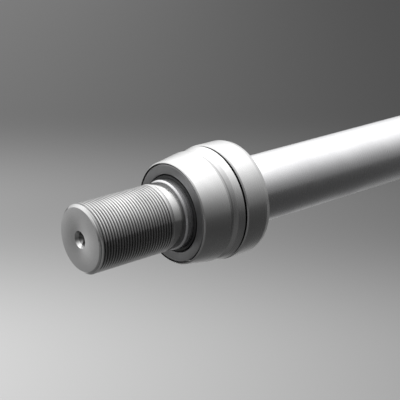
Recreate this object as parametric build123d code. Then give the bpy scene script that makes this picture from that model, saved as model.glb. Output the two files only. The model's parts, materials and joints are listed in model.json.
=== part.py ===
from build123d import *

import math
import os

# Ball screw thrust unit, lying along X: a ball screw turns in a bearing unit and drives a nut, and the nut
# pushes a hollow rod out through a gland. The origin is on the screw axis, in the mounting face of the
# bearing housing. The rod moves out towards +X. Each piece is first built with its axis on Z, so z is the
# distance along the screw, and is then laid along X with its local y upwards. Profiles are lists of (z, r).

# Ball screw, right-handed
LEAD = 10.0
SCREW_R = 10.0
NOSE_R = 7.0
CIRCLIP_GROOVE_R = 6.5
BALL_R = 1.984
BALL_CIRCLE_R = 10.4
GROOVE_R = 2.06
CIRCUIT_TURNS = 2.5
CIRCUIT_BALLS = 40
CIRCUIT_END_Z = 132.5
GROOVE_START_Z = 32.5
GROOVE_TURNS = 23

# Stations along the axis, with the rod at rest
SHAFT_END_Z = -55.0
JOURNAL_END_Z = -25.0
LOCK_NUT_BACK_Z = -23.5
LOCK_NUT_FRONT_Z = -15.5
COVER_BACK_Z = -16.0
FLANGE_BACK_Z = -10.0
BEARING_BACK_Z = -7.5
SPIGOT_FRONT_Z = 22.0
BUMPER_FRONT_Z = 27.0
NUT_BACK_Z = 98.0
NUT_FLANGE_Z = 140.0
ADAPTER_BACK_Z = 150.0
TUBE_BACK_Z = 157.0
HUB_FRONT_Z = 186.0
THREAD_FRONT_Z = 267.0
NOSE_BUSH_Z = (268.0, 279.0)
CIRCLIP_GROOVE_Z = (279.3, 280.4)
SCREW_NOSE_Z = 281.0
ROD_FACE_Z = 431.0

# Thrust rod and its threaded end, M33 x 1.5
ROD_R = 17.0
TUBE_BORE_R = 12.5
END_THREAD_R = 16.5
END_THREAD_PITCH = 1.5
END_THREAD_LENGTH = 42.0
END_THREAD_TURNS = 29
END_CHAMFER = 1.5
NECK_R = 16.3
NECK_END = 48.3
SPIGOT_R = 12.48
SPIGOT_END = 78.0
SPIGOT_GROOVE = (53.0, 55.6)
SPIGOT_GROOVE_R = 10.6
CENTRE_HOLE_R = 2.0
CENTRE_MOUTH_R = 4.1
CENTRE_HOLE_DEPTH = 9.0

# Gland on the rod, measured back from its front face
GLAND_FACE_Z = 378.9
GLAND_MOUTH_R = 24.3
GLAND_RIM_R = 25.05
GLAND_CONE_R = 27.3
GLAND_CONE_END = 14.6
GLAND_GROOVE_R = 25.6
GLAND_COLLAR_R = 28.3
GLAND_JOINT = 23.3
GLAND_STEP = 23.8
GLAND_RING_R = 28.5
GLAND_LENGTH = 38.2
GLAND_SPIGOT_R = 23.0
GLAND_SEAL_GROOVE = (26.0, 28.4)
GLAND_SEAL_GROOVE_R = 21.2
SEAL_GROOVE_R = 22.5
GLAND_BORE_R = 17.6
BUSH_SEAT_R = 20.0
RUNNING_R = ROD_R + 0.03

# Ball nut, its adapter and screws
NUT_R = 19.0
NUT_BORE_R = 10.35
NUT_FLAT = 15.0
NUT_GROOVE_TURNS = 5.5
FLANGE_R = 29.5
PILOT_R = 15.0
HUB_R = 25.0
FLANGE_SCREW_CIRCLE_R = 24.0
FLANGE_SCREWS = 6
FLANGE_SCREW_START = 30
NIPPLE_ANGLE = 0
NIPPLE_PORT_R = 3.02
WIPER_R = 10.05
RETURN_TUBE_R = 2.6
RETURN_BORE_R = 2.1
RETURN_HEIGHT = 17.7
RETURN_FOOT = 6.5
RETURN_BEND_R = 5.0
STRAP_LENGTH = 20.0
STRAP_WIDTH = 8.0
STRAP_THICKNESS = 3.0
STRAP_SCREW_SPACING = 14.4
KEY_WIDTH = 8.0
KEY_SEAT = 21.0
KEY_TOP = 33.0
KEY_SCREW_DEPTH = 4.0
KEY_Z = (163.0, 183.0)
HUB_GRUB_Z = 176.0
HUB_GRUB_ANGLES = (90, 270)

# Bearing unit, two 15 x 35 x 11 angular contact bearings
JOURNAL_R = 7.5
DRIVE_R = 6.0
RING_BORE_R = 7.51
RING_OUTER_R = 17.49
BEARING_SEAT_R = 17.5
BEARING_WIDTH = 11.0
BEARING_BALL_R = 3.0
BEARING_PITCH_R = 12.5
RACE_R = 3.06
BEARING_BALLS = 10
INNER_SHOULDER_R = 10.9
OUTER_SHOULDER_R = 14.1
OUTER_RELIEF_R = 14.9
CAGE_R = (11.3, 13.7)
CAGE_HALF_WIDTH = 4.3
SPACER_R = 10.5
OIL_SEAL_SEAT_R = 14.5
HOUSING_SPIGOT_R = 20.0
HOUSING_CORNER_R = 36.5
HOUSING_FLAT = 30.0
MOUNT_CIRCLE_R = 30.0
MOUNT_HOLE_R = 2.75
COVER_R = 24.5
COVER_SCREW_CIRCLE_R = 20.6
LOCK_NUT_R = 13.5
LOCK_SCREW_ANGLES = (45, 135)

ALONG_X = Plane(origin=(0, 0, 0), x_dir=(0, 1, 0), z_dir=(1, 0, 0)).location
LEAD_ANGLE = math.atan(LEAD / (2 * math.pi * BALL_CIRCLE_R))
FROM_BELOW = (Align.CENTER, Align.CENTER, Align.MIN)


def turned(*profile):
    """Solid of revolution about Z from the (z, r) corners of half its section."""
    outline = Polyline(*[(r, z) for z, r in profile], close=True)
    return revolve(Plane.XZ * make_face(outline), Axis.Z)


def ring(z_low, z_high, r_in, r_out, chamfer=0.3):
    """Plain ring with chamfered outer edges."""
    return turned(
        (z_low, r_in),
        (z_low, r_out - chamfer),
        (z_low + chamfer, r_out),
        (z_high - chamfer, r_out),
        (z_high, r_out - chamfer),
        (z_high, r_in),
    )


def pin(radius, z_low, z_high):
    return Pos(0, 0, z_low) * Cylinder(radius, z_high - z_low, align=FROM_BELOW)


def around(piece, radius, count, first_angle=0.0):
    """Copies of a piece on a circle about Z, each turned to face outwards."""
    return [
        Rot(0, 0, first_angle + 360 * i / count) * Pos(radius, 0, 0) * piece
        for i in range(count)
    ]


def group(pieces):
    """Separate solids as one node."""
    return Compound([solid for piece in pieces for solid in piece.solids()])


def radial(piece, angle, z):
    """Points a piece that stands on Z outwards from the axis, at an angle about it."""
    return Pos(0, 0, z) * Rot(0, 0, angle) * Rot(0, 90, 0) * piece


def socket_screw(thread_r, length, head_r, head_height):
    """Socket head screw: the underside of its head is at z = 0 and its shank points down."""
    edge = 0.3
    socket_depth = 0.55 * head_height
    body = turned(
        (-length, 0),
        (-length, thread_r - edge),
        (-length + edge, thread_r),
        (0, thread_r),
        (0, head_r),
        (head_height - edge, head_r),
        (head_height, head_r - edge),
        (head_height, 0),
    )
    socket = extrude(RegularPolygon(0.48 * head_r, 6, major_radius=False), socket_depth)
    return body - Pos(0, 0, head_height - socket_depth) * socket


def grub_screw(thread_r, low, high):
    """Headless screw between two distances from the axis, standing on Z."""
    socket = extrude(RegularPolygon(0.5 * thread_r, 6, major_radius=False), 0.6 * (high - low))
    return pin(thread_r, low, high) - Pos(0, 0, high - 0.6 * (high - low)) * socket


def helix_path(pitch, turns, radius):
    """Right-handed helix about Z, as a chain of half turns."""
    half_turn = Helix(pitch=pitch, height=pitch / 2, radius=radius)
    chain = [
        Pos(0, 0, i * pitch / 2) * Rot(0, 0, 180 * i) * half_turn for i in range(round(2 * turns))
    ]
    return Wire([edge for link in chain for edge in link.edges()])


def ball_groove(z_low, turns):
    """Round helical channel, in step everywhere: its angle is zero at CIRCUIT_END_Z."""
    path = helix_path(LEAD, turns, BALL_CIRCLE_R)
    section = Plane(origin=path @ 0, z_dir=path % 0) * Circle(GROOVE_R)
    start_angle = 360 * (z_low - CIRCUIT_END_Z) / LEAD
    return Pos(0, 0, z_low) * Rot(0, 0, start_angle) * sweep(section, path, is_frenet=True)


def end_thread():
    """V-groove of the rod end's thread, from beyond the end face to the neck."""
    depth = 0.6134 * END_THREAD_PITCH
    lift = 0.1
    root_half = END_THREAD_PITCH / 8
    crest_half = END_THREAD_PITCH * 7 / 16 + lift * math.tan(math.radians(30))
    path = helix_path(END_THREAD_PITCH, END_THREAD_TURNS, END_THREAD_R)
    section = Polyline(
        (END_THREAD_R + lift, -crest_half),
        (END_THREAD_R + lift, crest_half),
        (END_THREAD_R - depth, root_half),
        (END_THREAD_R - depth, -root_half),
        close=True,
    )
    groove = sweep(Plane.XZ * make_face(section), path, is_frenet=True)
    return Pos(0, 0, ROD_FACE_Z - END_THREAD_LENGTH) * groove


# Thrust rod


def rod_end():
    """Threaded end with a centre hole, a plain neck and a spigot held in the tube."""
    face = ROD_FACE_Z
    cone_depth = (CENTRE_MOUTH_R - CENTRE_HOLE_R) / math.tan(math.radians(30))
    blank = turned(
        (face - CENTRE_HOLE_DEPTH, 0),
        (face - CENTRE_HOLE_DEPTH, CENTRE_HOLE_R),
        (face - cone_depth, CENTRE_HOLE_R),
        (face, CENTRE_MOUTH_R),
        (face, END_THREAD_R - END_CHAMFER),
        (face - END_CHAMFER, END_THREAD_R),
        (face - END_THREAD_LENGTH, END_THREAD_R),
        (face - END_THREAD_LENGTH - 0.2, NECK_R),
        (face - NECK_END, NECK_R),
        (face - NECK_END, SPIGOT_R),
        (face - SPIGOT_GROOVE[0], SPIGOT_R),
        (face - SPIGOT_GROOVE[0], SPIGOT_GROOVE_R),
        (face - SPIGOT_GROOVE[1], SPIGOT_GROOVE_R),
        (face - SPIGOT_GROOVE[1], SPIGOT_R),
        (face - SPIGOT_END + 1.0, SPIGOT_R),
        (face - SPIGOT_END, SPIGOT_R - 1.0),
        (face - SPIGOT_END, 0),
    )
    return blank - end_thread()


def rod_end_o_ring():
    return Pos(0, 0, ROD_FACE_Z - sum(SPIGOT_GROOVE) / 2) * Torus(SPIGOT_R - 0.94, 0.92)


def thrust_tube():
    """Hollow ground rod."""
    front = ROD_FACE_Z - NECK_END
    lead_in = ROD_R - NECK_R
    return turned(
        (TUBE_BACK_Z, TUBE_BORE_R + 0.5),
        (TUBE_BACK_Z, ROD_R - 0.5),
        (TUBE_BACK_Z + 0.5, ROD_R),
        (front - lead_in, ROD_R),
        (front, NECK_R),
        (front, TUBE_BORE_R),
        (TUBE_BACK_Z + 0.5, TUBE_BORE_R),
    )


def nut_adapter():
    """Flanged hub that joins the tube to the ball nut and carries the guide ring and the key."""
    blank = turned(
        (ADAPTER_BACK_Z, PILOT_R + 0.02),
        (ADAPTER_BACK_Z, FLANGE_R - 0.5),
        (ADAPTER_BACK_Z + 0.5, FLANGE_R),
        (ADAPTER_BACK_Z + 2.0, FLANGE_R),
        (ADAPTER_BACK_Z + 2.0, FLANGE_R - 1.8),
        (ADAPTER_BACK_Z + 10.0, FLANGE_R - 1.8),
        (ADAPTER_BACK_Z + 10.0, FLANGE_R),
        (ADAPTER_BACK_Z + 11.5, FLANGE_R),
        (ADAPTER_BACK_Z + 12.0, FLANGE_R - 0.5),
        (ADAPTER_BACK_Z + 12.0, HUB_R),
        (HUB_FRONT_Z - 1.5, HUB_R),
        (HUB_FRONT_Z, HUB_R - 1.5),
        (HUB_FRONT_Z, ROD_R + 0.5),
        (HUB_FRONT_Z - 0.5, ROD_R + 0.01),
        (TUBE_BACK_Z, ROD_R + 0.01),
        (TUBE_BACK_Z, TUBE_BORE_R + 0.5),
        (ADAPTER_BACK_Z + 4.2, TUBE_BORE_R + 0.5),
        (ADAPTER_BACK_Z + 4.2, PILOT_R + 0.02),
    )
    tapped_hole = pin(2.55, ADAPTER_BACK_Z - 1, ADAPTER_BACK_Z + 10.0)
    blank -= around(tapped_hole, FLANGE_SCREW_CIRCLE_R, FLANGE_SCREWS, FLANGE_SCREW_START)
    key_length = KEY_Z[1] - KEY_Z[0]
    seat = Pos(KEY_SEAT, 0, KEY_Z[0]) * Box(
        10, KEY_WIDTH + 0.02, key_length + 0.02, align=(Align.MIN, Align.CENTER, Align.MIN)
    )
    blank -= seat
    blank -= [radial(pin(1.65, 17.2, 30), 0, z) for z in key_screw_stations()]
    blank -= [radial(pin(2.52, 16, 30), angle, HUB_GRUB_Z) for angle in HUB_GRUB_ANGLES]
    return blank


def hub_grub_screws():
    screw = grub_screw(2.5, ROD_R + 0.02, HUB_R - 1.0)
    return group([radial(screw, angle, HUB_GRUB_Z) for angle in HUB_GRUB_ANGLES])


def guide_ring():
    """Split plastic ring round the adapter's flange."""
    low = ADAPTER_BACK_Z + 2.05
    high = ADAPTER_BACK_Z + 9.95
    split = Rot(0, 0, 200) * Pos(FLANGE_R, 0, (low + high) / 2) * Rot(30, 0, 0) * Box(6, 1.2, 14)
    return ring(low, high, FLANGE_R - 1.78, FLANGE_R + 0.5) - split


def key_screw_stations():
    return (KEY_Z[0] + 5.0, KEY_Z[1] - 5.0)


def anti_rotation_key():
    """Round-ended block that slides in a keyway and stops the rod turning."""
    length = KEY_Z[1] - KEY_Z[0]
    outline = SlotOverall(length, KEY_WIDTH, rotation=90)
    block = extrude(outline, KEY_TOP - KEY_SEAT)
    block = chamfer(block.faces().sort_by(Axis.Z)[-1].edges(), 0.5)
    for offset in (-length / 2 + 5.0, length / 2 - 5.0):
        block -= Pos(0, offset, 0) * Cylinder(1.7, 40)
        head_seat = KEY_TOP - KEY_SEAT - KEY_SCREW_DEPTH
        block -= Pos(0, offset, head_seat) * Cylinder(3.1, 10, align=FROM_BELOW)
    upright = Rot(0, 90, 0) * Rot(0, 0, 90) * block
    return Pos(KEY_SEAT, 0, (KEY_Z[0] + KEY_Z[1]) / 2) * upright


def key_screws():
    screw = socket_screw(1.6, 11.5, 2.9, 3.0)
    return group([radial(Pos(0, 0, KEY_TOP - KEY_SCREW_DEPTH) * screw, 0, z) for z in key_screw_stations()])


# Ball nut


def ball_nut():
    """Flanged nut with a round ball groove through its bore and a flat for the return tube."""
    blank = turned(
        (NUT_BACK_Z, 14.0),
        (NUT_BACK_Z, NUT_R - 0.8),
        (NUT_BACK_Z + 0.8, NUT_R),
        (NUT_FLANGE_Z - 1.0, NUT_R),
        (NUT_FLANGE_Z - 1.0, NUT_R - 0.4),
        (NUT_FLANGE_Z, NUT_R - 0.4),
        (NUT_FLANGE_Z, FLANGE_R - 0.5),
        (NUT_FLANGE_Z + 0.5, FLANGE_R),
        (ADAPTER_BACK_Z - 0.5, FLANGE_R),
        (ADAPTER_BACK_Z, FLANGE_R - 0.5),
        (ADAPTER_BACK_Z, PILOT_R),
        (ADAPTER_BACK_Z + 4.0, PILOT_R - 0.3),
        (ADAPTER_BACK_Z + 4.0, 13.0),
        (ADAPTER_BACK_Z - 0.5, 13.0),
        (ADAPTER_BACK_Z - 0.5, NUT_BORE_R),
        (NUT_BACK_Z + 4.5, NUT_BORE_R),
        (NUT_BACK_Z + 4.5, 14.0),
    )
    flat_length = 37.0
    flat = Pos(0, NUT_FLAT, NUT_BACK_Z + 3.0) * Box(
        40, 10, flat_length, align=(Align.CENTER, Align.MIN, Align.MIN)
    )
    blank -= flat
    clear_hole = pin(2.75, NUT_FLANGE_Z - 1, ADAPTER_BACK_Z + 1)
    blank -= around(clear_hole, FLANGE_SCREW_CIRCLE_R, FLANGE_SCREWS, FLANGE_SCREW_START)
    port = pin(NIPPLE_PORT_R, NUT_FLANGE_Z - 1, NUT_FLANGE_Z + 6)
    blank -= around(port, FLANGE_SCREW_CIRCLE_R, 1, NIPPLE_ANGLE)
    blank -= along_return_route(RETURN_TUBE_R + 0.02, 0.0)
    blank -= [place_on_strap(x, NUT_FLAT - 3.4, pin(1.52, 0, 10)) for x in strap_screw_offsets()]
    return blank - ball_groove(NUT_BACK_Z + 0.5, NUT_GROOVE_TURNS)


def circuit_ends():
    """Side of the nut and station where the balls leave the groove, at each end of the circuit."""
    return ((1, CIRCUIT_END_Z), (-1, CIRCUIT_END_Z - CIRCUIT_TURNS * LEAD))


def return_route(foot):
    """Line that the balls follow outside the nut, in step with the groove at both its ends."""
    corners = []
    for side, z in circuit_ends():
        leg = [
            (side * BALL_CIRCLE_R, height, z + side * height * math.tan(LEAD_ANGLE))
            for height in (foot, RETURN_HEIGHT)
        ]
        corners += leg if side > 0 else reversed(leg)
    return FilletPolyline(*corners, radius=RETURN_BEND_R)


def along_return_route(radius, foot):
    route = return_route(foot)
    return sweep(Plane(origin=route @ 0, z_dir=route % 0) * Circle(radius), route)


def return_tube():
    outside = along_return_route(RETURN_TUBE_R, RETURN_FOOT)
    return outside - along_return_route(RETURN_BORE_R, RETURN_FOOT)


def strap_centre_z():
    return CIRCUIT_END_Z - CIRCUIT_TURNS * LEAD / 2


def strap_angle():
    """Angle between the return tube's bridge and the screw axis, in degrees."""
    span = CIRCUIT_TURNS * LEAD + 2 * RETURN_HEIGHT * math.tan(LEAD_ANGLE)
    return math.degrees(math.atan2(2 * BALL_CIRCLE_R, span))


def strap_screw_offsets():
    return (-STRAP_SCREW_SPACING / 2, STRAP_SCREW_SPACING / 2)


def place_on_strap(x, height, piece):
    """Stands a piece up from the nut's flat, x across the return tube from its middle."""
    turn = Pos(0, 0, strap_centre_z()) * Rot(0, strap_angle(), 0)
    return turn * Pos(x, height, 0) * Rot(-90, 0, 0) * piece


def return_tube_clamp():
    """Saddle strap over the return tube."""
    saddle_r = RETURN_TUBE_R + 1.6
    plate = Pos(0, 0, NUT_FLAT) * Box(STRAP_LENGTH, STRAP_WIDTH, STRAP_THICKNESS, align=FROM_BELOW)
    saddle = Pos(0, 0, RETURN_HEIGHT) * Rot(90, 0, 0) * Cylinder(saddle_r, STRAP_WIDTH)
    tunnel = Pos(0, 0, RETURN_HEIGHT) * Rot(90, 0, 0) * Cylinder(RETURN_TUBE_R + 0.02, 30)
    below = Box(60, 60, 20, align=(Align.CENTER, Align.CENTER, Align.MAX))
    strap = plate + saddle - tunnel - Pos(0, 0, NUT_FLAT) * below
    strap -= [Pos(x, 0, 0) * Cylinder(1.6, 60) for x in strap_screw_offsets()]
    return place_on_strap(0, 0, strap)


def clamp_screws():
    screw = socket_screw(1.5, 6.2, 2.75, 3.0)
    seat = NUT_FLAT + STRAP_THICKNESS
    return group([place_on_strap(x, seat, screw) for x in strap_screw_offsets()])


def nut_wiper(z_low, z_high, r_out):
    """Plastic wiper ring with a slot across one side."""
    slot = Pos(r_out, 0, z_high) * Box(3.0, 1.5, 3.0)
    return ring(z_low, z_high, WIPER_R, r_out) - slot


def nut_balls():
    """Balls in the nut's groove and in the return tube, just clear of each other."""
    balls = []
    for i in range(CIRCUIT_BALLS):
        turns = -CIRCUIT_TURNS * (i + 0.5) / CIRCUIT_BALLS
        spot = Rot(0, 0, 360 * turns) * Pos(BALL_CIRCLE_R, 0, 0)
        balls.append(Pos(0, 0, CIRCUIT_END_Z + LEAD * turns) * spot * Sphere(BALL_R))
    route = return_route(0.0)
    spaces = int(route.length / (2 * BALL_R + 0.1))
    for i in range(spaces):
        balls.append(Pos(route @ ((i + 0.5) / spaces)) * Sphere(BALL_R))
    return group(balls)


def nut_flange_screws():
    screw = Pos(0, 0, NUT_FLANGE_Z) * Rot(180, 0, 0) * socket_screw(2.5, 18.0, 4.25, 5.0)
    return group(around(screw, FLANGE_SCREW_CIRCLE_R, FLANGE_SCREWS, FLANGE_SCREW_START))


def grease_nipple():
    """Ball-headed nipple with a hexagon, screwed into the back of the nut's flange between two screws."""
    shape = turned(
        (-5.5, 0),
        (-5.5, 2.7),
        (-5.2, 3.0),
        (0, 3.0),
        (0, 2.6),
        (3.4, 2.6),
        (4.4, 1.9),
        (5.6, 1.7),
        (6.4, 2.6),
        (7.2, 2.6),
        (8.0, 1.6),
        (8.0, 0.5),
        (6.8, 0),
    )
    shape += extrude(RegularPolygon(4.0, 6, major_radius=False), 3.0)
    pointing_back = Pos(0, 0, NUT_FLANGE_Z) * Rot(180, 0, 0) * shape
    return group(around(pointing_back, FLANGE_SCREW_CIRCLE_R, 1, NIPPLE_ANGLE))


# Gland


def gland_profile(*points):
    """Solid of revolution whose stations are measured back from the gland's front face."""
    return turned(*[(GLAND_FACE_Z - back, r) for back, r in points])


def gland_body():
    """Front half: a slight cone with a groove, a bore for the seals and a spigot for the ring."""
    return gland_profile(
        (0, GLAND_MOUTH_R),
        (0.8, GLAND_RIM_R),
        (GLAND_CONE_END, GLAND_CONE_R),
        (GLAND_CONE_END + 0.3, GLAND_GROOVE_R),
        (17.0, GLAND_GROOVE_R),
        (19.2, 27.05),
        (GLAND_JOINT, GLAND_COLLAR_R),
        (GLAND_JOINT, 27.0),
        (GLAND_STEP, 27.0),
        (GLAND_STEP, GLAND_SPIGOT_R),
        (GLAND_SEAL_GROOVE[0], GLAND_SPIGOT_R),
        (GLAND_SEAL_GROOVE[0], GLAND_SEAL_GROOVE_R),
        (GLAND_SEAL_GROOVE[1], GLAND_SEAL_GROOVE_R),
        (GLAND_SEAL_GROOVE[1], GLAND_SPIGOT_R),
        (32.0, GLAND_SPIGOT_R),
        (32.5, GLAND_SPIGOT_R - 0.5),
        (32.5, BUSH_SEAT_R),
        (20.0, BUSH_SEAT_R),
        (20.0, GLAND_BORE_R),
        (18.4, GLAND_BORE_R),
        (18.4, GLAND_SPIGOT_R),
        (10.2, GLAND_SPIGOT_R),
        (10.2, GLAND_BORE_R),
        (8.4, GLAND_BORE_R),
        (8.4, SEAL_GROOVE_R),
        (3.2, SEAL_GROOVE_R),
        (3.2, GLAND_MOUTH_R),
    )


def gland_ring():
    """Rear half, screwed onto the body's spigot, with four holes for a pin spanner."""
    blank = gland_profile(
        (GLAND_STEP, GLAND_SPIGOT_R + 0.03),
        (GLAND_STEP, GLAND_RING_R - 0.3),
        (GLAND_STEP + 0.3, GLAND_RING_R),
        (36.05, GLAND_RING_R),
        (GLAND_LENGTH, 27.96),
        (GLAND_LENGTH, GLAND_BORE_R + 0.7),
        (GLAND_LENGTH - 0.5, GLAND_BORE_R + 0.2),
        (33.0, GLAND_BORE_R + 0.2),
        (33.0, GLAND_SPIGOT_R + 0.03),
    )
    back = GLAND_FACE_Z - GLAND_LENGTH
    return blank - around(pin(2.0, back - 1, back + 3.5), 23.0, 4, 45)


def gland_o_ring():
    return Pos(0, 0, GLAND_FACE_Z - sum(GLAND_SEAL_GROOVE) / 2) * Torus(GLAND_SPIGOT_R - 0.9, 0.88)


def wiper_retainer():
    return gland_profile(
        (0.25, 19.4),
        (0.25, 23.9),
        (0.55, 24.2),
        (3.2, 24.2),
        (3.2, 18.9),
        (0.75, 18.9),
    )


def wiper_seal():
    """Wiper with a lip that reaches forward along the rod to the gland's front face."""
    return gland_profile(
        (0.3, RUNNING_R + 0.12),
        (0.3, 18.4),
        (3.2, 18.7),
        (3.2, 22.4),
        (8.2, 22.4),
        (8.2, 18.3),
        (5.0, 17.9),
        (1.0, RUNNING_R),
    )


def rod_seal():
    """U-section seal, open towards the pressure side."""
    return gland_profile(
        (10.4, 17.5),
        (10.4, 22.9),
        (18.0, 22.9),
        (18.0, 21.4),
        (14.8, 20.0),
        (18.0, 18.4),
        (18.0, 17.3),
        (17.2, RUNNING_R),
    )


def guide_bush():
    return gland_profile(
        (20.0, RUNNING_R + 0.4),
        (20.0, BUSH_SEAT_R - 0.01),
        (32.0, BUSH_SEAT_R - 0.01),
        (32.0, RUNNING_R + 0.4),
        (31.6, RUNNING_R),
        (20.4, RUNNING_R),
    )


# Screw


def screw_shaft():
    """Ball screw with a nose journal, a bearing journal, a lock nut thread and a plain drive end."""
    blank = turned(
        (SHAFT_END_Z + 4.0, 0),
        (SHAFT_END_Z + 3.0, 1.0),
        (SHAFT_END_Z, 2.6),
        (SHAFT_END_Z, DRIVE_R - 0.5),
        (SHAFT_END_Z + 0.5, DRIVE_R),
        (JOURNAL_END_Z, DRIVE_R),
        (JOURNAL_END_Z, JOURNAL_R - 0.4),
        (JOURNAL_END_Z + 0.4, JOURNAL_R),
        (SPIGOT_FRONT_Z, JOURNAL_R),
        (SPIGOT_FRONT_Z, SCREW_R - 0.3),
        (SPIGOT_FRONT_Z + 0.3, SCREW_R),
        (THREAD_FRONT_Z - 1.0, SCREW_R),
        (THREAD_FRONT_Z, SCREW_R - 1.0),
        (THREAD_FRONT_Z, NOSE_R),
        (CIRCLIP_GROOVE_Z[0], NOSE_R),
        (CIRCLIP_GROOVE_Z[0], CIRCLIP_GROOVE_R),
        (CIRCLIP_GROOVE_Z[1], CIRCLIP_GROOVE_R),
        (CIRCLIP_GROOVE_Z[1], NOSE_R),
        (SCREW_NOSE_Z - 0.3, NOSE_R),
        (SCREW_NOSE_Z, NOSE_R - 0.3),
        (SCREW_NOSE_Z, 2.6),
        (SCREW_NOSE_Z - 3.0, 1.0),
        (SCREW_NOSE_Z - 4.0, 0),
    )
    return blank - ball_groove(GROOVE_START_Z, GROOVE_TURNS)


def nose_bush():
    """Plastic bush that steadies the screw's free end in the tube, with air passages."""
    low, high = NOSE_BUSH_Z
    bush = ring(low, high, NOSE_R + 0.02, TUBE_BORE_R - 0.05, 0.6)
    passage = Pos(0, 0, (low + high) / 2) * Box(3.0, 3.0, 2 * (high - low))
    return bush - around(passage, TUBE_BORE_R, 4, 45)


def nose_circlip():
    low, high = CIRCLIP_GROOVE_Z
    clip = ring(low + 0.05, high - 0.05, CIRCLIP_GROOVE_R + 0.03, 8.6, 0.1)
    return clip - Pos(8, 0, high) * Box(8, 2.4, 4)


def spacer(z_low, z_high):
    return ring(z_low, z_high, RING_BORE_R, SPACER_R)


def lock_nut():
    """Slotted round nut with two locking screws."""
    blank = ring(LOCK_NUT_BACK_Z, LOCK_NUT_FRONT_Z, JOURNAL_R + 0.02, LOCK_NUT_R, 0.6)
    slot = Pos(0, 0, LOCK_NUT_BACK_Z) * Box(4.0, 4.0, 20.0)
    blank -= around(slot, LOCK_NUT_R, 4)
    return blank - [radial(pin(2.02, 7, 20), angle, lock_screw_z()) for angle in LOCK_SCREW_ANGLES]


def lock_screw_z():
    return (LOCK_NUT_BACK_Z + LOCK_NUT_FRONT_Z) / 2


def lock_nut_set_screws():
    screw = grub_screw(2.0, JOURNAL_R + 0.02, LOCK_NUT_R - 1.0)
    return group([radial(screw, angle, lock_screw_z()) for angle in LOCK_SCREW_ANGLES])


# Bearing unit


def bearing_middles():
    first = BEARING_BACK_Z + BEARING_WIDTH / 2
    return {"rear": first, "front": first + BEARING_WIDTH}


def race(middle):
    return Pos(0, 0, middle) * Torus(BEARING_PITCH_R, RACE_R)


def inner_ring(middle):
    half = BEARING_WIDTH / 2
    return ring(middle - half, middle + half, RING_BORE_R, INNER_SHOULDER_R) - race(middle)


def outer_ring(middle, relief_side):
    """Outer ring; the shoulder on the relief side is cut back, as in an angular contact bearing."""
    half = BEARING_WIDTH / 2
    blank = ring(middle - half, middle + half, OUTER_SHOULDER_R, RING_OUTER_R, 0.5)
    relief = sorted((middle, middle + relief_side * (half + 1)))
    return blank - pin(OUTER_RELIEF_R, *relief) - race(middle)


def bearing_balls(middle):
    ball = Pos(0, 0, middle) * Sphere(BEARING_BALL_R)
    return group(around(ball, BEARING_PITCH_R, BEARING_BALLS))


def bearing_cage(middle):
    """Pocketed cage that keeps the balls apart."""
    low, high = CAGE_R
    band = ring(middle - CAGE_HALF_WIDTH, middle + CAGE_HALF_WIDTH, low, high, 0.2)
    pocket = pin(BEARING_BALL_R + 0.12, low - 4, high + 4)
    angles = [360 * i / BEARING_BALLS for i in range(BEARING_BALLS)]
    return band - [radial(pocket, angle, middle) for angle in angles]


def bearing_housing():
    """Square flange with a round spigot, bored through for the bearings and the front seal."""
    blank = turned(
        (FLANGE_BACK_Z, BEARING_SEAT_R),
        (FLANGE_BACK_Z, HOUSING_CORNER_R - 0.8),
        (FLANGE_BACK_Z + 0.8, HOUSING_CORNER_R),
        (-0.8, HOUSING_CORNER_R),
        (0, HOUSING_CORNER_R - 0.8),
        (0, HOUSING_SPIGOT_R),
        (SPIGOT_FRONT_Z - 1.0, HOUSING_SPIGOT_R),
        (SPIGOT_FRONT_Z, HOUSING_SPIGOT_R - 1.0),
        (SPIGOT_FRONT_Z, OIL_SEAL_SEAT_R),
        (BEARING_BACK_Z + 2 * BEARING_WIDTH, OIL_SEAL_SEAT_R),
        (BEARING_BACK_Z + 2 * BEARING_WIDTH, BEARING_SEAT_R),
    )
    side = 2 * HOUSING_FLAT
    block = Pos(0, 0, FLANGE_BACK_Z - 1) * Box(side, side, 60, align=FROM_BELOW)
    blank = blank & block
    hole = pin(MOUNT_HOLE_R, FLANGE_BACK_Z - 1, 1) + pin(4.75, FLANGE_BACK_Z - 1, FLANGE_BACK_Z + 5.4)
    blank -= around(hole, MOUNT_CIRCLE_R, 4, 45)
    return blank - around(pin(1.52, FLANGE_BACK_Z - 1, FLANGE_BACK_Z + 7), COVER_SCREW_CIRCLE_R, 4)


def bearing_cover():
    """Plate that clamps the outer rings and holds the rear seal."""
    blank = turned(
        (COVER_BACK_Z, OIL_SEAL_SEAT_R),
        (COVER_BACK_Z, COVER_R - 0.6),
        (COVER_BACK_Z + 0.6, COVER_R),
        (FLANGE_BACK_Z, COVER_R),
        (FLANGE_BACK_Z, BEARING_SEAT_R - 0.05),
        (BEARING_BACK_Z, BEARING_SEAT_R - 0.05),
        (BEARING_BACK_Z, OIL_SEAL_SEAT_R),
    )
    hole = pin(1.65, COVER_BACK_Z - 1, FLANGE_BACK_Z + 1) + pin(2.95, COVER_BACK_Z - 1, COVER_BACK_Z + 3.2)
    return blank - around(hole, COVER_SCREW_CIRCLE_R, 4)


def cover_screws():
    screw = Pos(0, 0, COVER_BACK_Z + 3.2) * Rot(180, 0, 0) * socket_screw(1.5, 8.5, 2.75, 3.0)
    return group(around(screw, COVER_SCREW_CIRCLE_R, 4))


def oil_seal(z_inner, outwards):
    """Lip seal on a spacer: its closed face looks outwards along the axis."""
    section = (
        (0.0, 14.48),
        (6.0, 14.48),
        (6.0, 11.4),
        (4.4, SPACER_R + 0.03),
        (3.0, 11.3),
        (3.0, 12.5),
        (4.6, 12.9),
        (4.6, 13.6),
        (0.0, 13.6),
    )
    return turned(*[(z_inner + outwards * along, r) for along, r in section])


def bumper():
    """Rubber ring that cushions the nut at the end of its travel."""
    return ring(SPIGOT_FRONT_Z, BUMPER_FRONT_Z, 13.0, 18.8, 0.8)


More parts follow.
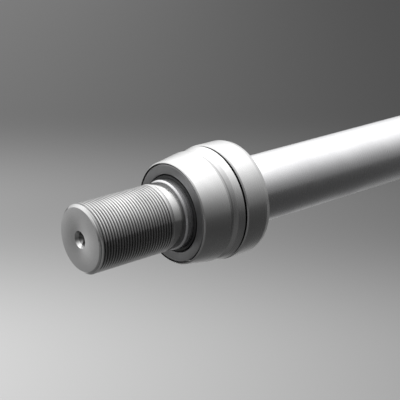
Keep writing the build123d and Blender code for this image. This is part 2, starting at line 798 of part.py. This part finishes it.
middles = bearing_middles()
nodes = {
    "rod_end": rod_end(),
    "rod_end_o_ring": rod_end_o_ring(),
    "thrust_tube": thrust_tube(),
    "nut_adapter": nut_adapter(),
    "hub_grub_screws": hub_grub_screws(),
    "guide_ring": guide_ring(),
    "anti_rotation_key": anti_rotation_key(),
    "key_screws": key_screws(),
    "ball_nut": ball_nut(),
    "nut_flange_screws": nut_flange_screws(),
    "nut_wiper_front": nut_wiper(ADAPTER_BACK_Z - 0.3, ADAPTER_BACK_Z + 3.8, 12.95),
    "nut_wiper_rear": nut_wiper(NUT_BACK_Z + 0.2, NUT_BACK_Z + 4.3, 13.95),
    "nut_balls": nut_balls(),
    "return_tube": return_tube(),
    "return_tube_clamp": return_tube_clamp(),
    "clamp_screws": clamp_screws(),
    "grease_nipple": grease_nipple(),
    "gland_body": gland_body(),
    "gland_ring": gland_ring(),
    "gland_o_ring": gland_o_ring(),
    "wiper_retainer": wiper_retainer(),
    "wiper_seal": wiper_seal(),
    "rod_seal": rod_seal(),
    "guide_bush": guide_bush(),
    "screw_shaft": screw_shaft(),
    "nose_bush": nose_bush(),
    "nose_circlip": nose_circlip(),
    "spacer_front": spacer(BEARING_BACK_Z + 2 * BEARING_WIDTH, SPIGOT_FRONT_Z),
    "spacer_rear": spacer(LOCK_NUT_FRONT_Z, BEARING_BACK_Z),
    "lock_nut": lock_nut(),
    "lock_nut_set_screws": lock_nut_set_screws(),
    "inner_ring_front": inner_ring(middles["front"]),
    "inner_ring_rear": inner_ring(middles["rear"]),
    "outer_ring_front": outer_ring(middles["front"], 1),
    "outer_ring_rear": outer_ring(middles["rear"], -1),
    "bearing_balls_front": bearing_balls(middles["front"]),
    "bearing_balls_rear": bearing_balls(middles["rear"]),
    "bearing_cage_front": bearing_cage(middles["front"]),
    "bearing_cage_rear": bearing_cage(middles["rear"]),
    "bearing_housing": bearing_housing(),
    "bearing_cover": bearing_cover(),
    "cover_screws": cover_screws(),
    "oil_seal_front": oil_seal(SPIGOT_FRONT_Z - 6.5, 1),
    "oil_seal_rear": oil_seal(COVER_BACK_Z + 6.8, -1),
    "bumper": bumper(),
}

os.makedirs("parts", exist_ok=True)
for name, shape in nodes.items():
    export_step(ALONG_X * shape, f"parts/{name}.step")
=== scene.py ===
import json
import math

import bmesh
import bpy
from mathutils import Matrix, Vector


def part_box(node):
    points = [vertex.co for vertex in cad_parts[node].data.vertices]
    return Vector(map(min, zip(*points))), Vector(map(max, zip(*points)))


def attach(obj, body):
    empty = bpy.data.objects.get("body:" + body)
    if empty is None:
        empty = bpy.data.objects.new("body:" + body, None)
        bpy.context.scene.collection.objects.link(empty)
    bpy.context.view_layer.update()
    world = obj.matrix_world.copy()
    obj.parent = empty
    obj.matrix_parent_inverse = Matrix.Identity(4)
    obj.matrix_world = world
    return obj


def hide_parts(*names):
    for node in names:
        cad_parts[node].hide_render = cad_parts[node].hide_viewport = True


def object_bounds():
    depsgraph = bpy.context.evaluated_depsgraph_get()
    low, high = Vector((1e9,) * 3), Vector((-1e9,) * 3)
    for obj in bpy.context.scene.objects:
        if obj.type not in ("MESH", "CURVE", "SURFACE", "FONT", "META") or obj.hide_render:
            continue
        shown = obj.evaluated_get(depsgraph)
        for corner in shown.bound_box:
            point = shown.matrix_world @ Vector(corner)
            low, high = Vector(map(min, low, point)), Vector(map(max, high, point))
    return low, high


# The looks of a ball screw thrust unit. The screw axis is X, the threaded rod end points to +X, and Z is up.
# Turned pieces are lists of (distance from a datum along the axis, radius) in millimetres.

MM = 0.001

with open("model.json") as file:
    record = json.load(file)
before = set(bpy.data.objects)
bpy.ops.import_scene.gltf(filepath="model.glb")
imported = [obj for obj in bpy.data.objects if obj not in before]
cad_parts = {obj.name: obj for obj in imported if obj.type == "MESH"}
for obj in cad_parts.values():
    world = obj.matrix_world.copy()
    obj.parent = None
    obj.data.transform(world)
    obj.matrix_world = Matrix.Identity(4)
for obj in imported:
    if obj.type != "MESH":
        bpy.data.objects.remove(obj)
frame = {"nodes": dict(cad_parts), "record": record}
cad_low, cad_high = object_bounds()


# ---------------------------------------------------------------- camera

LENS_MM = 108.0
SENSOR_MM = 36.0
LOOK_DOWN = math.radians(19.89)
AXIS_FROM_PICTURE_PLANE = math.radians(40.11)
END_FACE_LEFT = 53.87 * MM
END_FACE_BELOW = 17.86 * MM
END_FACE_AWAY = 537.9 * MM


def place_camera(end_face):
    """Sets the camera so that the rod end's face lies at the stated distances from it."""
    turn = AXIS_FROM_PICTURE_PLANE
    level = Vector((-math.sin(turn), -math.cos(turn), 0))
    right = Vector((level.y, -level.x, 0))
    ahead = level * math.cos(LOOK_DOWN) - Vector((0, 0, math.sin(LOOK_DOWN)))
    up = right.cross(ahead)
    place = end_face + right * END_FACE_LEFT + up * END_FACE_BELOW - ahead * END_FACE_AWAY
    data = bpy.data.cameras.new("camera")
    data.lens = LENS_MM
    data.sensor_width = SENSOR_MM
    data.clip_start = 0.01
    camera = bpy.data.objects.new("camera", data)
    basis = Matrix((right, up, -ahead)).transposed().to_4x4()
    camera.matrix_world = Matrix.Translation(place) @ basis
    bpy.context.scene.collection.objects.link(camera)
    bpy.context.scene.camera = camera


rod_face_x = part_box("rod_end")[1].x
place_camera(Vector((rod_face_x, 0, 0)))


# ---------------------------------------------------------------- materials

# Scales of the noises, in cycles for each metre
CLOUD_SCALE = 60.0
METAL_GRAIN_SCALE = 2600.0
RUBBER_GRAIN_SCALE = 3200.0


class Nodes:
    """Short calls for building a material's node tree."""

    def __init__(self, name):
        self.material = bpy.data.materials.new(name)
        self.material.use_nodes = True
        self.tree = self.material.node_tree
        self.shader = self.tree.nodes["Principled BSDF"]

    def add(self, kind, **settings):
        node = self.tree.nodes.new(kind)
        for key, value in settings.items():
            setattr(node, key, value)
        return node

    def link(self, source, target):
        self.tree.links.new(source, target)

    def math(self, operation, first, second=None):
        node = self.add("ShaderNodeMath", operation=operation)
        for socket, value in zip(node.inputs, (first, second)):
            if isinstance(value, (int, float)):
                socket.default_value = value
            elif value is not None:
                self.link(value, socket)
        return node.outputs[0]

    def noise(self, scale, detail=3.0, vector=None, w=None):
        node = self.add("ShaderNodeTexNoise", noise_dimensions="3D" if w is None else "1D")
        node.inputs["Scale"].default_value = scale
        node.inputs["Detail"].default_value = detail
        if vector is not None:
            self.link(vector, node.inputs["Vector"])
        if w is not None:
            self.link(w, node.inputs["W"])
        return node.outputs["Fac"]

    def spread(self, value, low, high, from_low=0.3, from_high=0.7):
        node = self.add("ShaderNodeMapRange")
        self.link(value, node.inputs["Value"])
        node.inputs["From Min"].default_value = from_low
        node.inputs["From Max"].default_value = from_high
        node.inputs["To Min"].default_value = low
        node.inputs["To Max"].default_value = high
        return node.outputs["Result"]

    def soft_step(self, value, span, levels):
        """Smooth change between two levels over a span of the value."""
        node = self.add("ShaderNodeMapRange", interpolation_type="SMOOTHERSTEP")
        self.link(value, node.inputs["Value"])
        node.inputs["From Min"].default_value, node.inputs["From Max"].default_value = span
        node.inputs["To Min"].default_value, node.inputs["To Max"].default_value = levels
        return node.outputs["Result"]

    def mix(self, factor, first, second):
        node = self.add("ShaderNodeMix", data_type="RGBA")
        self.link(factor, node.inputs["Factor"])
        node.inputs["A"].default_value = (*first, 1)
        node.inputs["B"].default_value = (*second, 1)
        return node.outputs["Result"]

    def bump(self, height, distance, strength=1.0, normal=None):
        node = self.add("ShaderNodeBump")
        node.inputs["Distance"].default_value = distance
        node.inputs["Strength"].default_value = strength
        self.link(height, node.inputs["Height"])
        if normal is not None:
            self.link(normal, node.inputs["Normal"])
        return node.outputs["Normal"]

    def place(self):
        return self.add("ShaderNodeTexCoord").outputs["Object"]

    def axial_and_radial(self):
        split = self.add("ShaderNodeSeparateXYZ")
        self.link(self.place(), split.inputs[0])
        across = self.math("MULTIPLY", split.outputs["Y"], split.outputs["Y"])
        upward = self.math("MULTIPLY", split.outputs["Z"], split.outputs["Z"])
        return split.outputs["X"], self.math("SQRT", self.math("ADD", across, upward))

    def painted_shade(self, first, last, unshaded_r, shaded_r):
        """Mask of painted shade: 1 in the grooves between two stations, falling to 0 on the lands above them.
        """
        station, radius = self.axial_and_radial()
        depth = self.soft_step(radius, (shaded_r * MM, unshaded_r * MM), (1.0, 0.0))
        start = self.math("GREATER_THAN", station, first * MM)
        end = self.math("LESS_THAN", station, last * MM)
        return self.math("MULTIPLY", depth, self.math("MULTIPLY", start, end))

    def darken(self, colour, amount, left):
        node = self.add("ShaderNodeMix", data_type="RGBA", blend_type="MULTIPLY")
        self.link(amount, node.inputs["Factor"])
        self.link(colour, node.inputs["A"])
        node.inputs["B"].default_value = (left, left, left, 1)
        return node.outputs["Result"]

    def along_profile(self):
        """Distance along a turned surface: station plus radius, so tool marks run round the axis."""
        return self.math("ADD", *self.axial_and_radial())


def turned_metal(name, colour, stain, roughness, marks, depth, painted_shade=()):
    """Metal with tool marks that run round the axis, cloudy staining and uneven gloss.

    The last argument lists grooves darkened with painted shade, each as (first station, last station,
    unshaded radius, shaded radius, share of the colour left).
    """
    n = Nodes(name)
    grooves = n.noise(marks, 4.0, w=n.along_profile())
    clouds = n.noise(CLOUD_SCALE, 5.0, vector=n.place())
    grain = n.noise(METAL_GRAIN_SCALE, 2.0, vector=n.place())
    base = n.mix(n.spread(clouds, 0.0, 1.0, 0.35, 0.75), colour, stain)
    # Painted shade darkens each listed groove.
    for *groove, left in painted_shade:
        base = n.darken(base, n.painted_shade(*groove), left)
    n.link(base, n.shader.inputs["Base Color"])
    gloss = n.math("ADD", n.spread(clouds, -0.03, 0.05), n.spread(grooves, -0.03, 0.04))
    n.link(n.math("ADD", gloss, roughness), n.shader.inputs["Roughness"])
    rings = n.bump(grooves, depth)
    n.link(n.bump(grain, depth * 0.25, 0.6, rings), n.shader.inputs["Normal"])
    n.shader.inputs["Metallic"].default_value = 1.0
    return n.material


def rubber(name, colour, roughness):
    """Moulded rubber with a fine matt grain and a dusting of wear."""
    n = Nodes(name)
    grain = n.noise(RUBBER_GRAIN_SCALE, 3.0, vector=n.place())
    dust = n.noise(120.0, 4.0, vector=n.place())
    lighter = tuple(c * 2.2 + 0.01 for c in colour)
    n.link(n.mix(n.spread(dust, 0.0, 0.6, 0.45, 0.8), colour, lighter), n.shader.inputs["Base Color"])
    n.link(n.spread(grain, roughness - 0.06, roughness + 0.08), n.shader.inputs["Roughness"])
    n.link(n.bump(grain, 0.00004), n.shader.inputs["Normal"])
    return n.material


def plastic(name, colour, roughness):
    """Machined engineering plastic with faint turning marks."""
    n = Nodes(name)
    marks = n.noise(2500.0, 3.0, w=n.along_profile())
    clouds = n.noise(90.0, 3.0, vector=n.place())
    paler = tuple(c * 1.35 for c in colour)
    n.link(n.mix(n.spread(clouds, 0.0, 0.7), colour, paler), n.shader.inputs["Base Color"])
    n.link(n.spread(marks, roughness - 0.05, roughness + 0.05), n.shader.inputs["Roughness"])
    n.link(n.bump(marks, 0.00003), n.shader.inputs["Normal"])
    return n.material


finishes = {
    "chromed_rod": turned_metal("chromed_rod", (0.66, 0.66, 0.67), (0.58, 0.58, 0.59), 0.26, 3000, 0.000004),
    "threaded_end": turned_metal(
        "threaded_end",
        (0.6, 0.6, 0.6),
        (0.48, 0.48, 0.48),
        0.13,
        2500,
        0.00001,
        # Painted shade in the thread's grooves.
        painted_shade=[(389.5, 429.4, 16.4, 15.6, 0.42)],
    ),
    "gland_steel": turned_metal(
        "gland_steel",
        (0.58, 0.58, 0.58),
        (0.49, 0.49, 0.49),
        0.28,
        2600,
        0.000008,
        # Painted shade in the joint between the gland's two parts and in the groove behind its front cone.
        painted_shade=[(354.7, 356.3, 28.0, 27.2, 0.1), (361.4, 364.4, 27.2, 25.8, 0.7)],
    ),
    "dark_steel": turned_metal("dark_steel", (0.31, 0.31, 0.315), (0.2, 0.2, 0.2), 0.42, 2200, 0.00001),
    "black_rubber": rubber("black_rubber", (0.018, 0.018, 0.019), 0.55),
    "seal_plastic": plastic("seal_plastic", (0.09, 0.1, 0.105), 0.45),
    "bronze": turned_metal("bronze", (0.5, 0.34, 0.17), (0.36, 0.24, 0.12), 0.35, 2400, 0.00001),
    "cage_brass": turned_metal("cage_brass", (0.62, 0.47, 0.22), (0.5, 0.36, 0.16), 0.3, 2400, 0.00001),
    "ground_screw": turned_metal(
        "ground_screw", (0.55, 0.55, 0.56), (0.46, 0.46, 0.47), 0.22, 3000, 0.000005
    ),
    "bearing_steel": turned_metal("bearing_steel", (0.6, 0.6, 0.61), (0.52, 0.52, 0.53), 0.2, 3000, 0.000004),
    "ball_steel": turned_metal("ball_steel", (0.7, 0.7, 0.72), (0.66, 0.66, 0.68), 0.08, 500, 0.000001),
    "nut_steel": turned_metal("nut_steel", (0.46, 0.46, 0.47), (0.38, 0.38, 0.385), 0.3, 2600, 0.000008),
    "housing_steel": turned_metal(
        "housing_steel", (0.09, 0.09, 0.095), (0.06, 0.06, 0.062), 0.38, 1800, 0.00001
    ),
    "fastener_steel": turned_metal(
        "fastener_steel", (0.055, 0.055, 0.058), (0.035, 0.035, 0.036), 0.4, 2600, 0.00001
    ),
    "tube_steel": turned_metal("tube_steel", (0.55, 0.54, 0.52), (0.42, 0.41, 0.39), 0.3, 1200, 0.000008),
}


# ---------------------------------------------------------------- mesh tools

SAME_POINT = 0.5e-6


def rounded(profile, radius, steps=4):
    """Replaces each corner of a closed (x, r) outline by a small arc, leaving points on the axis alone."""
    result = []
    count = len(profile)
    for i, corner in enumerate(profile):
        here = Vector(corner)
        before = Vector(profile[i - 1]) - here
        after = Vector(profile[(i + 1) % count]) - here
        angle = before.angle(after)
        if here.y < 1e-6 or angle > math.radians(172):
            result.append(tuple(here))
            continue
        reach = min(radius / math.tan(angle / 2), 0.45 * before.length, 0.45 * after.length)
        start = here + before.normalized() * reach
        end = here + after.normalized() * reach
        for k in range(steps + 1):
            t = k / steps
            point = start * (1 - t) ** 2 + here * 2 * t * (1 - t) + end * t**2
            result.append(tuple(point))
    return result


def build(name, rings, body, slot, nodes, closed=True, sharp=35):
    """Skins rings of (x, r) stations into a closed surface and puts it on a body.

    Each ring runs a whole turn, so its last point meets its own first one, or that of another turn of a
    thread.
    """
    columns = len(rings[0])
    verts = []
    for ring in rings:
        for j, (x, r) in enumerate(ring):
            angle = 2 * math.pi * j / (columns - 1)
            verts.append((x * MM, r * math.cos(angle) * MM, r * math.sin(angle) * MM))
    faces = []
    last = len(rings) if closed else len(rings) - 1
    for k in range(last):
        low = k * columns
        high = ((k + 1) % len(rings)) * columns
        for j in range(columns - 1):
            faces.append((low + j, low + j + 1, high + j + 1, high + j))
    mesh = bpy.data.meshes.new(name)
    mesh.from_pydata(verts, [], faces)
    tidy(mesh, sharp)
    piece = bpy.data.objects.new(name, mesh)
    bpy.context.scene.collection.objects.link(piece)
    dress(piece, body, slot, nodes)
    return piece


def tidy(mesh, sharp):
    """Joins coincident points, turns the faces outwards and marks the sharp edges."""
    bm = bmesh.new()
    bm.from_mesh(mesh)
    bmesh.ops.remove_doubles(bm, verts=bm.verts, dist=SAME_POINT)
    bmesh.ops.dissolve_degenerate(bm, edges=bm.edges, dist=SAME_POINT)
    bmesh.ops.recalc_face_normals(bm, faces=bm.faces)
    for face in bm.faces:
        face.smooth = True
    bm.to_mesh(mesh)
    bm.free()
    mesh.set_sharp_from_angle(angle=math.radians(sharp))


def dress(piece, body, slot, nodes):
    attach(piece, body)
    if nodes:
        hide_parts(*nodes)
    piece.data.materials.clear()
    piece.data.materials.append(finishes[slot])


def lathe(name, profile, body, slot, nodes, datum=0.0, sign=1, round_r=0.15, segments=160):
    """Turned piece from a closed outline of (distance from the datum, radius)."""
    outline = rounded([(datum + sign * s, r) for s, r in profile], round_r)
    rings = [[point] * (segments + 1) for point in outline]
    return build(name, rings, body, slot, nodes)


# ---------------------------------------------------------------- rod end with its thread

ROD_FACE = rod_face_x / MM
THREAD_R = 16.5
THREAD_PITCH = 1.5
THREAD_DEPTH = 0.92
THREAD_END = 42.0
CHAMFER = 1.5
NECK_R = 16.3
NECK_END = 48.3
SPIGOT_R = 12.4
SPIGOT_END = 78.0
RUN_OUT = 2.0

# Share of the pitch and of the thread's depth at each corner of one turn, from one crest to the next.
THREAD_FORM = ((-0.12, 0.0), (0.12, 0.0), (0.25, 0.5), (0.38, 0.96), (0.5, 1.0), (0.62, 0.96), (0.75, 0.5))


def thread_ring(turn, share, depth, segments):
    """One line of the thread, laid along its helix and clipped to the threaded length."""
    ring = []
    for j in range(segments + 1):
        back = THREAD_PITCH * (turn + share - j / segments)
        back = min(max(back, 0.0), THREAD_END)
        cut = THREAD_DEPTH * depth * min(1.0, (THREAD_END - back) / RUN_OUT)
        crest = min(THREAD_R, THREAD_R - CHAMFER + back, NECK_R + (THREAD_END - back))
        ring.append((ROD_FACE - back, min(crest, THREAD_R - cut)))
    return ring


def make_rod_end(segments=192):
    front = rounded(
        [(-9.0, 0.0), (-9.0, 2.0), (-3.64, 2.0), (0.0, 4.1), (0.0, THREAD_R - CHAMFER)], 0.12
    )[:-5]
    rings = [[(ROD_FACE + s, r)] * (segments + 1) for s, r in front]
    turns = int(THREAD_END / THREAD_PITCH) + 2
    for turn in range(turns):
        for share, depth in THREAD_FORM:
            rings.append(thread_ring(turn, share, depth, segments))
    rear = [
        (THREAD_END, NECK_R),
        (THREAD_END + 0.1, NECK_R),
        (NECK_END - 0.15, NECK_R),
        (NECK_END, NECK_R - 0.15),
        (NECK_END, SPIGOT_R),
        (SPIGOT_END - 1.0, SPIGOT_R),
        (SPIGOT_END, SPIGOT_R - 1.0),
        (SPIGOT_END, 0.0),
    ]
    rings += [[(ROD_FACE - s, r)] * (segments + 1) for s, r in rear]
    return build("rod_end_thread", rings, "thrust_rod", "threaded_end", ["rod_end"], closed=False)


make_rod_end()


# ---------------------------------------------------------------- thrust tube

ROD_R = 17.0
TUBE_BORE_R = 12.5
TUBE_BACK = ROD_FACE - 157.0

lathe(
    "push_rod",
    [
        (NECK_END, TUBE_BORE_R),
        (NECK_END, NECK_R),
        (NECK_END + 0.7, ROD_R),
        (TUBE_BACK - 0.5, ROD_R),
        (TUBE_BACK, ROD_R - 0.5),
        (TUBE_BACK, TUBE_BORE_R),
    ],
    "thrust_rod",
    "chromed_rod",
    ["thrust_tube"],
    ROD_FACE,
    -1,
    segments=256,
)


# ---------------------------------------------------------------- gland

GLAND_FACE = 378.9

lathe(
    "gland_front",
    [
        (0.0, 24.3),
        (0.8, 25.05),
        (14.6, 27.3),
        (14.9, 25.4),
        (17.0, 25.4),
        (19.2, 27.05),
        (22.7, 28.15),
        (22.7, 26.0),
        (23.8, 26.0),
        (23.8, 23.0),
        (26.0, 23.0),
        (26.0, 21.2),
        (28.4, 21.2),
        (28.4, 23.0),
        (32.5, 22.6),
        (32.5, 20.0),
        (20.0, 20.0),
        (20.0, 17.6),
        (18.4, 17.6),
        (18.4, 23.0),
        (10.2, 23.0),
        (10.2, 17.6),
        (8.4, 17.6),
        (8.4, 22.5),
        (3.2, 22.5),
        (3.2, 24.3),
    ],
    "gland",
    "gland_steel",
    ["gland_body"],
    GLAND_FACE,
    -1,
    segments=224,
)

lathe(
    "gland_rear",
    [
        (24.0, 23.03),
        (24.0, 27.9),
        (24.6, 28.5),
        (36.0, 28.5),
        (38.2, 27.96),
        (38.2, 18.3),
        (37.7, 17.8),
        (33.0, 17.8),
        (33.0, 23.03),
    ],
    "gland",
    "gland_steel",
    ["gland_ring"],
    GLAND_FACE,
    -1,
    segments=224,
)

lathe(
    "wiper_plate",
    [(0.25, 19.4), (0.25, 23.4), (0.55, 23.75), (3.2, 23.75), (3.2, 18.9), (0.75, 18.9)],
    "gland",
    "dark_steel",
    ["wiper_retainer"],
    GLAND_FACE,
    -1,
)

lathe(
    "wiper_lip",
    [
        (0.3, 17.15),
        (0.3, 18.4),
        (3.2, 18.7),
        (3.2, 22.4),
        (8.2, 22.4),
        (8.2, 18.3),
        (5.0, 17.9),
        (1.0, 17.03),
    ],
    "gland",
    "black_rubber",
    ["wiper_seal"],
    GLAND_FACE,
    -1,
)


# ---------------------------------------------------------------- CAD pieces

slot_of = {part["node"]: part["material_slot"] for part in frame["record"]["subparts"]}
for node, piece in frame["nodes"].items():
    finish = finishes[slot_of[node]]
    if not piece.data.materials:
        piece.data.materials.append(finish)
    for i in range(len(piece.data.materials)):
        piece.data.materials[i] = finish


# ---------------------------------------------------------------- stage

FLOOR_DROP = 0.56
FLOOR_SIZE = 16.0

# Spans over which painted shade darkens the floor's colour, in metres: across the picture, then towards the
# camera
FLOOR_ACROSS = (-1.6, 0.9)
FLOOR_DISTANT = (-2.1, -1.2)
FLOOR_BEHIND = (-1.4, -0.65)
FLOOR_BELOW = (-0.55, 0.1)
FLOOR_PALE = 0.61

# The dome's light is brightest along its axis, and fades to the least at the fade's cosine.
DOME_AXIS = Vector((-0.2, -0.35, 0.9)).normalized()
DOME_FADE = -0.7
DOME_POWER = 2.6
DOME_LEAST = 0.1


def make_floor():
    """Pale floor well below the part, with painted shade: darker to the right, in the distance and under the
    camera.
    """
    bpy.ops.mesh.primitive_plane_add(size=FLOOR_SIZE, location=(0.2, 0, cad_low.z - FLOOR_DROP))
    floor = bpy.context.object
    floor.name = "floor"
    n = Nodes("floor_painted_shade")
    split = n.add("ShaderNodeSeparateXYZ")
    turn = n.add("ShaderNodeMapping", vector_type="POINT")
    turn.inputs["Rotation"].default_value = (0, 0, AXIS_FROM_PICTURE_PLANE)
    n.link(n.add("ShaderNodeNewGeometry").outputs["Position"], turn.inputs["Vector"])
    n.link(turn.outputs["Vector"], split.inputs[0])
    rightward = n.math("MULTIPLY", split.outputs["X"], -1.0)
    nearer = split.outputs["Y"]
    # Painted shade, set by position on the floor.
    across = n.soft_step(rightward, FLOOR_ACROSS, (1.0, 0.25))
    distant = n.soft_step(nearer, FLOOR_DISTANT, (0.42, 1.0))
    behind = n.soft_step(nearer, FLOOR_BEHIND, (0.5, 1.0))
    below = n.soft_step(nearer, FLOOR_BELOW, (1.0, 0.25))
    shade = n.math("MULTIPLY", n.math("MULTIPLY", across, distant), n.math("MULTIPLY", behind, below))
    n.link(n.mix(shade, (0, 0, 0), (FLOOR_PALE, FLOOR_PALE, FLOOR_PALE)), n.shader.inputs["Base Color"])
    n.shader.inputs["Roughness"].default_value = 0.9
    n.shader.inputs["Specular IOR Level"].default_value = 0.1
    floor.data.materials.append(n.material)


def make_dome():
    """Soft studio light: a dome that is brightest overhead and a little behind the part."""
    world = bpy.data.worlds.new("studio")
    bpy.context.scene.world = world
    world.use_nodes = True
    tree = world.node_tree
    tree.nodes["Background"].inputs["Color"].default_value = (1, 1, 1, 1)
    towards = tree.nodes.new("ShaderNodeVectorMath")
    towards.operation = "DOT_PRODUCT"
    towards.inputs[1].default_value = DOME_AXIS
    place = tree.nodes.new("ShaderNodeTexCoord")
    tree.links.new(place.outputs["Generated"], towards.inputs[0])
    ramp = tree.nodes.new("ShaderNodeMapRange")
    ramp.inputs["From Min"].default_value = DOME_FADE
    ramp.inputs["From Max"].default_value = 1.0
    tree.links.new(towards.outputs["Value"], ramp.inputs["Value"])
    cube = tree.nodes.new("ShaderNodeMath")
    cube.operation = "POWER"
    cube.inputs[1].default_value = 3.0
    tree.links.new(ramp.outputs["Result"], cube.inputs[0])
    scale = tree.nodes.new("ShaderNodeMath")
    scale.operation = "MULTIPLY_ADD"
    scale.inputs[1].default_value = DOME_POWER
    scale.inputs[2].default_value = DOME_LEAST
    tree.links.new(cube.outputs[0], scale.inputs[0])
    tree.links.new(scale.outputs[0], tree.nodes["Background"].inputs["Strength"])


make_floor()
make_dome()
bpy.context.scene.view_settings.view_transform = "Standard"
